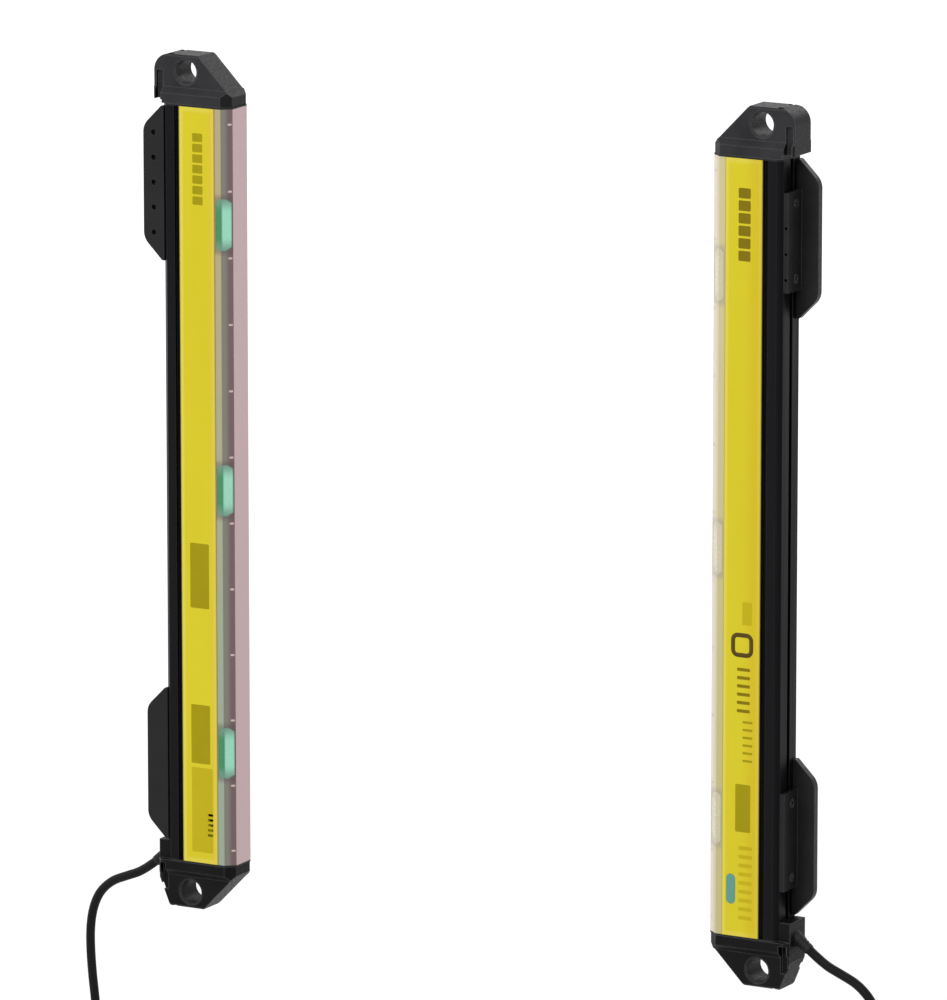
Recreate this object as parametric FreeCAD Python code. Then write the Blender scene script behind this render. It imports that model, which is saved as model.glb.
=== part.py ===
import FreeCAD, Part
import math
import os
from FreeCAD import Vector

# Safety light curtain: an emitter and a receiver facing each other across the detection zone.
# Units are millimetres.  +X runs from the emitter to the receiver, +Z is up, and the yellow
# faces lie on -Y and +Y.  The origin is the centre of the four end-cap mounting holes.
#
# Each unit is drawn once, in its own frame: x = 0 is its back plane and x grows towards its
# window, y = 0 is its middle plane and z = 0 its mid-length.  The emitter is that unit moved
# back along X.  The receiver is the emitter turned half a turn about Z.

# ---- Optics and spacing ----
BEAMS = 12
BEAM_PITCH = 40.0
END_MARGIN = 9.0            # from the last beam to the end of the housing
UNIT_GAP = 320.0            # between the two window faces
LENS_DIAMETER = 10.0
LENS_RIM = 1.8
LENS_CROWN = 1.2
LENS_SEAT = 0.5             # width of the ledge behind each lens
DIODE_DIAMETER = 5.0
DIODE_HEIGHT = 4.0
PHOTODIODE_WIDTH = 4.0
BORE_BACK_DIAMETER = 6.0    # small end of each tapered light bore
BOARD_THICKNESS = 1.6

# ---- Section of a unit, from its back plane to its window face ----
THICKNESS = 26.0
REAR_DEPTH = 12.0           # black rear part, up to the yellow panel
PANEL_WIDTH = 24.0
WINDOW_SIDE = 4.0           # straight side strip of the window
NOSE_RUN = 6.0              # slanted corner of the window, along X
NOSE_INSET = 5.0            # the same corner, along Y
BACK_BEVEL = 3.0
PANEL_THICKNESS = 0.8
PANEL_RECESS = 0.5
SIDE_WALL = 1.8
GROOVE_WIDTH = 3.0
GROOVE_DEPTH = 2.0
GROOVE_WALL = 1.5           # metal left behind the groove
GROOVE_LAND = 0.5           # between the groove and the yellow panel
SLOT_MOUTH = 3.6            # T-slot in the back plane
SLOT_LIP = 1.8
SLOT_WIDTH = 7.0
SLOT_DEPTH = 2.8
SLOT_FLOOR = 1.6
BOARD_LEDGE = 1.2           # the ledge stands this far in front of the rear part
WINDOW_WALL = 2.2
WINDOW_LEG = 6.0            # legs of the window that stand inside the housing
LEG_WALL = 1.4
SLIDE_CLEARANCE = 0.2       # between parts that slide into the extrusion

# ---- Indicator lamps ----
LAMPS = 3
LAMP_PITCH = 4 * BEAM_PITCH
LAMP_LENGTH = 31.0
LAMP_CORNER = 2.2           # cut corners of each lamp
LAMP_MARGIN = 0.8           # window left between the lamp and the housing
LAMP_INNER = 8.6            # the lamp covers the corner down to this half width
PIPE_WIDTH = 3.4
PIPE_HEIGHT = 4.0
PIPE_OFFSET = 6.6           # of a light pipe from the middle plane
CHIP_HEIGHT = 1.4
STATUS_LENGTH = 18.0        # status lens in the receiver's yellow panel
STATUS_WIDTH = 6.0
STATUS_FROM_END = 28.0      # from the housing's lower end to the lens's middle
STATUS_FROM_FRONT = 6.0

# ---- End caps ----
GASKET = 1.0
CAP_HEIGHT = 29.0
CAP_TIP_HEIGHT = 6.0
CAP_TIP_SETBACK = 0.5       # the cap's tip stands behind the window face
CAP_TOP_FRONT = 23.0        # front end of the cap's flat top, from the back plane
CAP_COLLAR = 6.0            # height that is as thick as the housing
EAR_THICKNESS = 19.0        # above the collar's sloping shoulder
CAP_EDGE = 1.0              # bevel along the cap's flat top
LUG_DEPTH = 7.0             # rear lug, behind the back plane
LUG_RADIUS = 10.0
LUG_GAP = 2.0               # from the joint to the lug of the top cap
LUG_GROOVE_WIDTH = 4.5      # upright groove in each side of the lug
LUG_GROOVE_DEPTH = 2.0
LUG_GROOVE_SETBACK = 1.0    # from the back plane to the groove
LUG_GROOVE_TOP = 19.0
CABLE_TAB = 11.5            # the bottom cap's lug reaches this far past the joint
CABLE_LUG_TOP = 12.0        # from here the bottom cap's back slopes to its flat end
MOUNT_HOLE = 14.0
MOUNT_SPOTFACE = 16.0
SPOTFACE_DEPTH = 0.8
MOUNT_FROM_BACK = 14.5
MOUNT_FROM_JOINT = 19.0
SPIGOT_LENGTH = 2.5
SPIGOT_BACK = 16.0
SPIGOT_FRONT = 34.0

# ---- Cap screws ----
SCREW_DIAMETER = 2.5
SCREW_CLEARANCE = 0.2
SCREW_HEAD = 4.2
SCREW_HEAD_HEIGHT = 2.5
SCREW_SEAT = 12.0           # height of the head's seat above the joint
SCREW_REACH = 8.0           # thread that stands in the extrusion
SCREW_SOCKET = 2.0
SOCKET_SIDES = 6
SCREW_X = 3.6
SCREW_Y = 6.6

# ---- Side brackets ----
BRACKET_LENGTH = 93.0
BRACKET_WING = 14.0         # how far the wing stands behind the back plane
BRACKET_THICKNESS = 4.5
BRACKET_SIDE = 2.0          # from the unit's side to the wing
BRACKET_CORNER = 12.5
BRACKET_ROUND = 10.0
FLANGE_THICKNESS = 3.0
FLANGE_LENGTH = 58.0
FLANGE_EDGE = 3.0           # from the unit's far side to the flange's free edge
UPPER_BRACKET_DROP = 1.0    # from the housing's end
LOWER_BRACKET_RISE = 11.5
TAPPED_HOLES = 5
TAPPED_PITCH = 15.0
TAPPED_DIAMETER = 3.3
TAPPED_DEPTH = 3.2
TAPPED_FROM_BACK = 7.0
EDGE_HOLES = 3
EDGE_PITCH = 15.0
EDGE_DIAMETER = 2.0
EDGE_DEPTH = 3.0
EDGE_OFFSET = 6.5           # of that row, away from the cap
BRACKET_SCREWS = 2
BRACKET_SCREW_PITCH = 44.0
BRACKET_SCREW_DIAMETER = 3.0
BRACKET_SCREW_HEAD = 5.6
BRACKET_SOCKET = 2.0
NUT_LENGTH = 9.0

# ---- Strain relief, cable and plug ----
CABLE_DIAMETER = 5.5
EXIT_ANGLE = 38.0           # below the horizontal
EXIT_ABOVE_JOINT = 1.0
BOOT_ROOT = 8.0
BOOT_TIP = 6.4
BOOT_LENGTH = 10.0
BOOT_SEAT = 3.2
BOOT_RINGS = 3
BOOT_RING_PITCH = 2.2
BOOT_RING_WIDTH = 1.0
BOOT_RING_DEPTH = 0.4
PLUG_DIAMETER = 12.5
PLUG_GRIP = 15.0
PLUG_TAIL = 12.0
PLUG_NOSE = 9.0
PLUG_NOSE_DIAMETER = 9.6
PLUG_FLATS = 11.4
SEAL_WIDTH = 1.6
SEAL_DIAMETER = 11.0
CONTACTS = 7
CONTACT_DIAMETER = 1.2
CONTACT_LENGTH = 3.0
CONTACT_CIRCLE = 5.8

ARC_SHARE = 0.45            # of the shorter run beside a corner, at most, that its arc takes

# The cable's route from the tip of the strain relief, chosen by hand: each point is
# (behind the tip, to its side, below it).
CABLE_ROUTE = [
    (0.0, 0.0, 0.0),
    (9.4, 0.0, 7.35),
    (20.2, 0.3, 13.0),
    (31.6, 0.9, 20.6),
    (41.2, 1.9, 33.4),
    (46.0, 3.2, 51.0),
    (46.7, 4.6, 74.0),
    (45.1, 5.5, 100.6),
    (44.6, 5.7, 128.0),
    (46.5, 5.0, 153.6),
    (49.3, 3.7, 178.4),
]

# ---- Worked out from the sizes above ----
HALF = THICKNESS / 2
FRONT = REAR_DEPTH + PANEL_WIDTH
DEPTH = FRONT + WINDOW_SIDE + NOSE_RUN
NOSE_HALF = HALF - NOSE_INSET
LENGTH = (BEAMS - 1) * BEAM_PITCH + 2 * END_MARGIN
JOINT = LENGTH / 2 + GASKET
INNER_HALF = HALF - PANEL_RECESS - SIDE_WALL
LEDGE_HALF = HALF - GROOVE_DEPTH - GROOVE_WALL
LEDGE = REAR_DEPTH + BOARD_LEDGE
CHANNEL = SLOT_LIP + SLOT_DEPTH + SLOT_FLOOR
LEG_OUTER = INNER_HALF - SLIDE_CLEARANCE
LEG_INNER = LEG_OUTER - LEG_WALL
CARRIER_HALF = LEG_INNER - SLIDE_CLEARANCE
BOARD_FRONT = LEDGE + BOARD_THICKNESS
CARRIER_END = LENGTH / 2 - SPIGOT_LENGTH - SLIDE_CLEARANCE
CAP_TIP = DEPTH - CAP_TIP_SETBACK
EAR_HALF = EAR_THICKNESS / 2
SPIGOT_HALF = CARRIER_HALF - SLIDE_CLEARANCE
WING_Y = -HALF + BRACKET_SIDE
EXIT = Vector(math.cos(math.radians(180 + EXIT_ANGLE)), 0, -math.sin(math.radians(EXIT_ANGLE)))
EXIT_POINT = Vector(-LUG_DEPTH, 0, EXIT_ABOVE_JOINT - JOINT)
BACK_X = -UNIT_GAP / 2 - DEPTH
BEAM_HEIGHTS = [(i - (BEAMS - 1) / 2) * BEAM_PITCH for i in range(BEAMS)]
LAMP_HEIGHTS = [(i - (LAMPS - 1) / 2) * LAMP_PITCH for i in range(LAMPS)]

X_AXIS = Vector(1, 0, 0)
Y_AXIS = Vector(0, 1, 0)
Z_AXIS = Vector(0, 0, 1)


# ---- Small helpers ----
def block(x0, x1, y0, y1, z0, z1):
    return Part.makeBox(x1 - x0, y1 - y0, z1 - z0, Vector(x0, y0, z0))


def rod(diameter, length, start, axis):
    return Part.makeCylinder(diameter / 2, length, start, axis)


def column(points, z0, z1):
    """A prism over an outline in the XY plane."""
    corners = [Vector(x, y, z0) for x, y in points]
    return Part.Face(Part.makePolygon(corners + corners[:1])).extrude(Vector(0, 0, z1 - z0))


def turned(profile, start, axis):
    """A solid of revolution: the profile gives (along the axis, radius) pairs."""
    corners = [Vector(r, 0, h) for h, r in profile]
    solid = Part.Face(Part.makePolygon(corners + corners[:1])).revolve(Vector(), Z_AXIS, 360)
    solid.Placement = FreeCAD.Placement(start, FreeCAD.Rotation(Z_AXIS, axis))
    return solid


def both_sides(half):
    """A closed outline from its +Y half, which runs from front to back or back to front."""
    return half + [(x, -y) for x, y in reversed(half)]


def upside_down(shape):
    return shape.mirror(Vector(), Z_AXIS)


def tangent_arc(before, corner, after, radius):
    """Rounds a corner with at most this radius: the arc, its two ends and its true radius."""
    a, b = corner - before, after - corner
    half_turn = a.getAngle(b) / 2
    back = min(radius * math.tan(half_turn), ARC_SHARE * min(a.Length, b.Length))
    radius = back / math.tan(half_turn)
    first = corner - Vector(a).normalize() * back
    last = corner + Vector(b).normalize() * back
    inward = ((first + last) * 0.5 - corner).normalize()
    middle = corner + inward * (radius / math.cos(half_turn) - radius)
    return Part.Arc(first, middle, last).toShape(), first, last, radius


# ---- Outlines shared by several parts ----
def unit_outline():
    return both_sides([
        (0, HALF - BACK_BEVEL),
        (BACK_BEVEL, HALF),
        (FRONT + WINDOW_SIDE, HALF),
        (DEPTH, NOSE_HALF),
    ])


def nose_offset(distance):
    """The slanted corner moved inwards: its x where y = 0, and its slope."""
    slope = NOSE_INSET / NOSE_RUN
    shift = distance * math.hypot(NOSE_RUN, NOSE_INSET) / NOSE_RUN
    return (NOSE_HALF - shift + slope * DEPTH) / slope, slope


# ---- Housing and panels ----
def housing():
    groove_front = REAR_DEPTH - GROOVE_LAND
    groove_back = groove_front - GROOVE_WIDTH
    outer = [
        (SLOT_LIP + SLOT_DEPTH, SLOT_WIDTH / 2),
        (SLOT_LIP, SLOT_WIDTH / 2),
        (SLOT_LIP, SLOT_MOUTH / 2),
        (0, SLOT_MOUTH / 2),
        (0, HALF - BACK_BEVEL),
        (BACK_BEVEL, HALF),
        (groove_back, HALF),
        (groove_back, HALF - GROOVE_DEPTH),
        (groove_front, HALF - GROOVE_DEPTH),
        (groove_front, HALF),
        (REAR_DEPTH, HALF),
        (REAR_DEPTH, HALF - PANEL_RECESS),
        (FRONT, HALF - PANEL_RECESS),
        (FRONT, INNER_HALF),
        (LEDGE, INNER_HALF),
        (LEDGE, LEDGE_HALF),
        (CHANNEL, LEDGE_HALF),
    ]
    body = column(both_sides(outer), -LENGTH / 2, LENGTH / 2)
    for side in (-1, 1):
        start = Vector(SCREW_X, side * SCREW_Y, -LENGTH / 2)
        body = body.cut(rod(SCREW_DIAMETER, LENGTH, start, Z_AXIS))
    return body


def side_panel(side, status_lens):
    face = HALF - PANEL_RECESS
    y0, y1 = sorted((side * face, side * (face + PANEL_THICKNESS)))
    panel = block(REAR_DEPTH, FRONT, y0, y1, -LENGTH / 2, LENGTH / 2)
    return panel.cut(status_shape(side)) if status_lens else panel


def status_shape(side):
    """A round-ended lens set in the yellow panel near its lower end."""
    face = HALF - PANEL_RECESS
    y0, y1 = sorted((side * face, side * (face + PANEL_THICKNESS)))
    x = FRONT - STATUS_FROM_FRONT
    r = STATUS_WIDTH / 2
    straight = STATUS_LENGTH - STATUS_WIDTH
    z0 = -LENGTH / 2 + STATUS_FROM_END - straight / 2
    middle = block(x - r, x + r, y0, y1, z0, z0 + straight)
    ends = [rod(STATUS_WIDTH, y1 - y0, Vector(x, y0, z), Y_AXIS) for z in (z0, z0 + straight)]
    return middle.fuse(ends).removeSplitter()


# ---- Window and lamps ----
def window_blank():
    face_x = DEPTH - WINDOW_WALL
    x_at_axis, slope = nose_offset(WINDOW_WALL)
    outer = [
        (FRONT - WINDOW_LEG, LEG_INNER),
        (FRONT - WINDOW_LEG, LEG_OUTER),
        (FRONT, LEG_OUTER),
        (FRONT, HALF),
        (FRONT + WINDOW_SIDE, HALF),
        (DEPTH, NOSE_HALF),
    ]
    inner = [
        (face_x, (x_at_axis - face_x) * slope),
        (x_at_axis - LEG_INNER / slope, LEG_INNER),
    ]
    outline = outer + [(x, -y) for x, y in reversed(outer)] + [(x, -y) for x, y in reversed(inner)]
    return column(outline + inner, -LENGTH / 2, LENGTH / 2)


def lamp_zones():
    """The stretches of the window's corners that the lamp lenses fill."""
    zones = []
    for z in LAMP_HEIGHTS:
        for side in (-1, 1):
            y0, y1 = sorted((side * LAMP_INNER, side * HALF))
            z0, z1 = z - LAMP_LENGTH / 2, z + LAMP_LENGTH / 2
            zone = block(FRONT + LAMP_MARGIN, DEPTH, y0, y1, z0, z1)
            zones.append(zone.makeChamfer(LAMP_CORNER, [e for e in zone.Edges if is_lamp_corner(e, side)]))
    return zones


def is_lamp_corner(edge, side):
    """The end edges beside the window's face and beside the housing."""
    box = edge.BoundBox
    inner = box.YLength < box.XLength and abs(box.YMin - side * LAMP_INNER) < SLIDE_CLEARANCE
    rear = box.XLength < box.YLength and abs(box.XMin - FRONT - LAMP_MARGIN) < SLIDE_CLEARANCE
    return box.ZLength < SLIDE_CLEARANCE and (inner or rear)


def window():
    return window_blank().cut(lamp_zones())


def lamp_lenses():
    blank = window_blank()
    return [blank.common(zone) for zone in lamp_zones()]


# ---- Inside the housing ----
def circuit_board():
    half = INNER_HALF - SLIDE_CLEARANCE
    return block(LEDGE, BOARD_FRONT, -half, half, -CARRIER_END, CARRIER_END)


def optics_carrier():
    carrier = block(BOARD_FRONT, FRONT, -CARRIER_HALF, CARRIER_HALF, -CARRIER_END, CARRIER_END)
    cuts = []
    seat = FRONT - LENS_RIM
    back = BOARD_FRONT + DIODE_HEIGHT
    mouth = LENS_DIAMETER / 2 - LENS_SEAT
    for z in BEAM_HEIGHTS:
        taper = [(back, 0), (back, BORE_BACK_DIAMETER / 2), (seat, mouth), (seat, 0)]
        cuts.append(turned(taper, Vector(0, 0, z), X_AXIS))
        cuts.append(rod(BORE_BACK_DIAMETER, DIODE_HEIGHT, Vector(BOARD_FRONT, 0, z), X_AXIS))
        cuts.append(rod(LENS_DIAMETER, LENS_RIM, Vector(seat, 0, z), X_AXIS))
    cuts += light_pipes(SLIDE_CLEARANCE, BOARD_FRONT, FRONT)
    return carrier.cut(cuts)


def light_pipes(clearance, x0, x1):
    pipes = []
    for z in LAMP_HEIGHTS:
        for side in (-1, 1):
            half_y = PIPE_WIDTH / 2 + clearance
            half_z = PIPE_HEIGHT / 2 + clearance
            y = side * PIPE_OFFSET
            pipes.append(block(x0, x1, y - half_y, y + half_y, z - half_z, z + half_z))
    return pipes


def lenses():
    seat = FRONT - LENS_RIM
    r = LENS_DIAMETER / 2
    crown_radius = (r * r + LENS_CROWN * LENS_CROWN) / (2 * LENS_CROWN)
    solids = []
    for z in BEAM_HEIGHTS:
        disc = rod(LENS_DIAMETER, LENS_RIM, Vector(seat, 0, z), X_AXIS)
        ball = Part.makeSphere(crown_radius, Vector(FRONT + LENS_CROWN - crown_radius, 0, z))
        tall = rod(LENS_DIAMETER, LENS_RIM + LENS_CROWN, Vector(seat, 0, z), X_AXIS)
        solids.append(disc.fuse(tall.common(ball)).removeSplitter())
    return solids


def emitter_diodes():
    r = DIODE_DIAMETER / 2
    straight = DIODE_HEIGHT - r / 2
    profile = [(0, 0), (0, r), (straight, r), (DIODE_HEIGHT, r / 2), (DIODE_HEIGHT, 0)]
    return [turned(profile, Vector(BOARD_FRONT, 0, z), X_AXIS) for z in BEAM_HEIGHTS]


def receiver_diodes():
    half = PHOTODIODE_WIDTH / 2
    top = BOARD_FRONT + DIODE_HEIGHT / 2
    return [block(BOARD_FRONT, top, -half, half, z - half, z + half) for z in BEAM_HEIGHTS]


def indicator_diodes():
    return light_pipes(0, BOARD_FRONT, BOARD_FRONT + CHIP_HEIGHT)


def indicator_pipes():
    x_at_axis, slope = nose_offset(WINDOW_WALL)
    reach = x_at_axis - (PIPE_OFFSET + PIPE_WIDTH / 2) / slope - SLIDE_CLEARANCE
    return light_pipes(0, BOARD_FRONT + CHIP_HEIGHT, reach)


# ---- End caps ----
def cap_blank(rear):
    """An upper cap's outer form: its side outline, its plan and its end view in one solid."""
    front = [(0, 0), (CAP_TIP, 0), (CAP_TIP, CAP_TIP_HEIGHT), (CAP_TOP_FRONT, CAP_HEIGHT)]
    side = [Vector(x, -HALF, JOINT + z) for x, z in front + rear]
    form = Part.Face(Part.makePolygon(side + side[:1])).extrude(Vector(0, THICKNESS, 0))
    plan = both_sides([
        (-LUG_DEPTH, HALF - BACK_BEVEL),
        (-LUG_DEPTH + BACK_BEVEL, HALF),
        (FRONT + WINDOW_SIDE, HALF),
        (CAP_TIP, NOSE_HALF),
    ])
    lowest = min(0, min(z for _, z in rear))
    form = form.common(column(plan, JOINT + lowest, JOINT + CAP_HEIGHT))
    shoulder = CAP_COLLAR + HALF - EAR_HALF
    half = [
        (HALF, lowest),
        (HALF, CAP_COLLAR),
        (EAR_HALF, shoulder),
        (EAR_HALF, CAP_HEIGHT - CAP_EDGE),
        (EAR_HALF - CAP_EDGE, CAP_HEIGHT),
    ]
    end = [Vector(-LUG_DEPTH, y, JOINT + z) for y, z in half + [(-y, z) for y, z in reversed(half)]]
    reach = Vector(LUG_DEPTH + CAP_TIP, 0, 0)
    return form.common(Part.Face(Part.makePolygon(end + end[:1])).extrude(reach))


def screw_places():
    return [(SCREW_X, -SCREW_Y), (SCREW_X, SCREW_Y)]


def finished_cap(blank):
    """Adds the spigot and cuts the mounting hole, the screw holes and the lug's grooves."""
    hole = Vector(MOUNT_FROM_BACK, -HALF, JOINT + MOUNT_FROM_JOINT)
    cuts = [rod(MOUNT_HOLE, THICKNESS, hole, Y_AXIS)]
    groove_front = -LUG_GROOVE_SETBACK
    groove_back = groove_front - LUG_GROOVE_WIDTH
    for side in (-1, 1):
        face = Vector(hole.x, side * (EAR_HALF - SPOTFACE_DEPTH), hole.z)
        cuts.append(rod(MOUNT_SPOTFACE, HALF, face, Y_AXIS * side))
        y0, y1 = sorted((side * (EAR_HALF - LUG_GROOVE_DEPTH), side * HALF))
        top = JOINT + LUG_GROOVE_TOP
        cuts.append(block(groove_back, groove_front, y0, y1, JOINT + LUG_GAP, top))
    foot = LENGTH / 2 - SPIGOT_LENGTH
    spigot = block(SPIGOT_BACK, SPIGOT_FRONT, -SPIGOT_HALF, SPIGOT_HALF, foot, JOINT)
    for x, y in screw_places():
        cuts.append(rod(SCREW_DIAMETER + 2 * SCREW_CLEARANCE, CAP_HEIGHT, Vector(x, y, JOINT), Z_AXIS))
        seat = Vector(x, y, JOINT + SCREW_SEAT)
        cuts.append(rod(SCREW_HEAD + 2 * SCREW_CLEARANCE, CAP_HEIGHT, seat, Z_AXIS))
    return blank.fuse(spigot).cut(cuts)


def top_cap():
    blank = cap_blank([(-LUG_DEPTH, CAP_HEIGHT), (-LUG_DEPTH, LUG_GAP), (0, LUG_GAP)])
    corner = Part.makePolygon([
        Vector(-LUG_DEPTH, -HALF, JOINT + CAP_HEIGHT - LUG_RADIUS),
        Vector(-LUG_DEPTH, -HALF, JOINT + CAP_HEIGHT),
        Vector(LUG_RADIUS - LUG_DEPTH, -HALF, JOINT + CAP_HEIGHT),
        Vector(LUG_RADIUS - LUG_DEPTH, -HALF, JOINT + CAP_HEIGHT - LUG_RADIUS),
        Vector(-LUG_DEPTH, -HALF, JOINT + CAP_HEIGHT - LUG_RADIUS),
    ])
    centre = Vector(LUG_RADIUS - LUG_DEPTH, -HALF, JOINT + CAP_HEIGHT - LUG_RADIUS)
    waste = Part.Face(corner).extrude(Vector(0, THICKNESS, 0))
    return finished_cap(blank.cut(waste.cut(rod(2 * LUG_RADIUS, THICKNESS, centre, Y_AXIS))))


def bottom_cap():
    blank = cap_blank([
        (0, CAP_HEIGHT),
        (-LUG_DEPTH, CABLE_LUG_TOP),
        (-LUG_DEPTH, -CABLE_TAB),
        (0, -CABLE_TAB),
    ])
    for side in (-1, 1):
        y0, y1 = sorted((side * EAR_HALF, side * HALF))
        blank = blank.cut(block(-LUG_DEPTH, 0, y0, y1, JOINT - CABLE_TAB, JOINT))
    cap = upside_down(finished_cap(blank))
    return cap.cut(rod(BOOT_ROOT, 2 * BOOT_SEAT, EXIT_POINT - EXIT * BOOT_SEAT, EXIT))


def gasket():
    plate = column(unit_outline(), LENGTH / 2, JOINT)
    half = SPIGOT_HALF + SLIDE_CLEARANCE
    x0, x1 = SPIGOT_BACK - SLIDE_CLEARANCE, SPIGOT_FRONT + SLIDE_CLEARANCE
    cuts = [block(x0, x1, -half, half, LENGTH / 2, JOINT)]
    for x, y in screw_places():
        start = Vector(x, y, LENGTH / 2)
        cuts.append(rod(SCREW_DIAMETER + 2 * SCREW_CLEARANCE, GASKET, start, Z_AXIS))
    return plate.cut(cuts)


def cap_screws():
    screws = []
    seat = JOINT + SCREW_SEAT
    foot = LENGTH / 2 - SCREW_REACH
    for x, y in screw_places():
        shank = rod(SCREW_DIAMETER, seat - foot, Vector(x, y, foot), Z_AXIS)
        head = rod(SCREW_HEAD, SCREW_HEAD_HEIGHT, Vector(x, y, seat), Z_AXIS)
        floor = Vector(x, y, seat + SCREW_HEAD_HEIGHT / 2)
        screws.append(shank.fuse(head).cut(hexagon(SCREW_SOCKET, SCREW_HEAD_HEIGHT / 2, floor)))
    return screws + [upside_down(s) for s in screws]


def hexagon(flats, height, start):
    """An upright prism, flats wide between two opposite sides."""
    step = 2 * math.pi / SOCKET_SIDES
    r = flats / 2 / math.cos(step / 2)
    angles = [step * i for i in range(SOCKET_SIDES)]
    corners = [(start.x + r * math.cos(a), start.y + r * math.sin(a)) for a in angles]
    return column(corners, start.z, start.z + height)


# ---- Side brackets ----
def bracket(drilled):
    """A bracket that stands on z = 0; drilled adds the tapped rows of the upper one."""
    wing = Part.Face(wing_outline()).extrude(Vector(0, BRACKET_THICKNESS, 0))
    low = BRACKET_LENGTH / 2 - FLANGE_LENGTH / 2
    flange = block(-FLANGE_THICKNESS, 0, WING_Y, HALF - FLANGE_EDGE, low, low + FLANGE_LENGTH)
    cuts = []
    for z in spaced(TAPPED_HOLES if drilled else 0, TAPPED_PITCH):
        cuts.append(rod(TAPPED_DIAMETER, TAPPED_DEPTH, Vector(-TAPPED_FROM_BACK, WING_Y, z), Y_AXIS))
    for z in spaced(EDGE_HOLES if drilled else 0, EDGE_PITCH):
        start = Vector(-FLANGE_THICKNESS / 2, HALF - FLANGE_EDGE, z + EDGE_OFFSET)
        cuts.append(rod(EDGE_DIAMETER, EDGE_DEPTH, start, Y_AXIS * -1))
    for z in spaced(BRACKET_SCREWS, BRACKET_SCREW_PITCH):
        cuts.append(countersunk(z, SCREW_CLEARANCE))
    return wing.fuse(flange).removeSplitter().cut(cuts)


def wing_outline():
    """The wing's side outline, with its two outer corners cut and rounded."""
    x1, height, cut = -BRACKET_WING, BRACKET_LENGTH, BRACKET_CORNER
    corners = [(0, 0), (x1 + cut, 0), (x1, cut), (x1, height - cut), (x1 + cut, height), (0, height)]
    points = [Vector(x, WING_Y, z) for x, z in corners]
    edges = []
    start = points[0]
    for before, corner, after in zip(points, points[1:], points[2:]):
        arc, first, last, _ = tangent_arc(before, corner, after, BRACKET_ROUND)
        edges += [Part.LineSegment(start, first).toShape(), arc]
        start = last
    edges.append(Part.LineSegment(start, points[-1]).toShape())
    edges.append(Part.LineSegment(points[-1], points[0]).toShape())
    return Part.Wire(edges)


def spaced(count, pitch):
    return [BRACKET_LENGTH / 2 + (i - (count - 1) / 2) * pitch for i in range(count)]


def countersunk(z, clearance):
    """A flat-headed screw's body from the flange's face to the bottom of the T-slot."""
    shank = BRACKET_SCREW_DIAMETER / 2 + clearance
    head = BRACKET_SCREW_HEAD / 2 + clearance
    cone = head - shank
    reach = FLANGE_THICKNESS + SLOT_LIP + SLOT_DEPTH - clearance
    profile = [(0, 0), (0, head), (cone, shank), (reach, shank), (reach, 0)]
    return turned(profile, Vector(-FLANGE_THICKNESS, 0, z), X_AXIS)


def bracket_screws():
    solids = []
    for z in spaced(BRACKET_SCREWS, BRACKET_SCREW_PITCH):
        profile = countersunk(z, 0)
        socket = rod(BRACKET_SOCKET, FLANGE_THICKNESS / 2, Vector(-FLANGE_THICKNESS, 0, z), X_AXIS)
        solids.append(profile.cut(socket))
    return solids


def slot_nuts():
    solids = []
    half = SLOT_WIDTH / 2 - SLIDE_CLEARANCE
    neck = SLOT_MOUTH / 2 - SLIDE_CLEARANCE
    for z in spaced(BRACKET_SCREWS, BRACKET_SCREW_PITCH):
        z0, z1 = z - NUT_LENGTH / 2, z + NUT_LENGTH / 2
        nut = block(SLOT_LIP, SLOT_LIP + SLOT_DEPTH - SLIDE_CLEARANCE, -half, half, z0, z1)
        nut = nut.fuse(block(SLIDE_CLEARANCE, SLOT_LIP, -neck, neck, z0, z1))
        solids.append(nut.cut(countersunk(z, 0)))
    return solids


def upper(shapes):
    """Turns the standing bracket end for end and hangs it below the top cap."""
    top = LENGTH / 2 - UPPER_BRACKET_DROP
    flipped = [s.mirror(Vector(0, 0, BRACKET_LENGTH / 2), Z_AXIS) for s in shapes]
    return [s.translated(Vector(0, 0, top - BRACKET_LENGTH)) for s in flipped]


def lower(shapes):
    bottom = -LENGTH / 2 + LOWER_BRACKET_RISE
    return [s.translated(Vector(0, 0, bottom)) for s in shapes]


# ---- Strain relief, cable and plug ----
def strain_relief():
    root, tip = BOOT_ROOT / 2 - SLIDE_CLEARANCE, BOOT_TIP / 2
    seat = BOOT_SEAT - SLIDE_CLEARANCE
    boot = turned(
        [(-seat, 0), (-seat, root), (0, root), (BOOT_LENGTH, tip), (BOOT_LENGTH, 0)], EXIT_POINT, EXIT
    )
    rings = []
    for i in range(BOOT_RINGS):
        h = BOOT_RING_PITCH * (i + 1)
        floor = root + (tip - root) * h / BOOT_LENGTH - BOOT_RING_DEPTH
        outer = root + BOOT_RING_DEPTH
        ring = [(h, floor), (h, outer), (h + BOOT_RING_WIDTH, outer), (h + BOOT_RING_WIDTH, floor)]
        rings.append(turned(ring, EXIT_POINT, EXIT))
    return boot.cut(rings)


def cable_points():
    tip = EXIT_POINT + EXIT * BOOT_LENGTH
    return [tip + Vector(-back, side, -down) for back, side, down in CABLE_ROUTE]


def cable():
    """Straight runs joined by tangent arcs, as large as the runs beside them allow."""
    points = cable_points()
    edges = []
    length = 0.0
    start = points[0]
    for before, corner, after in zip(points, points[1:], points[2:]):
        arc, first, last, radius = tangent_arc(before, corner, after, math.inf)
        edges += [Part.LineSegment(start, first).toShape(), arc]
        length += (first - start).Length + arc.Length
        print("cable radius", round(radius, 1), "run", round((corner - before).Length, 1))
        start = last
    edges.append(Part.LineSegment(start, points[-1]).toShape())
    length += (points[-1] - start).Length
    section = Part.Wire(Part.makeCircle(CABLE_DIAMETER / 2, points[0], points[1] - points[0]))
    tube = Part.Wire(edges).makePipeShell([section], True, False)
    area = math.pi * CABLE_DIAMETER ** 2 / 4
    print("cable length", round(length, 1), "volume share", round(tube.Volume / area / length, 4))
    return tube


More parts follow.
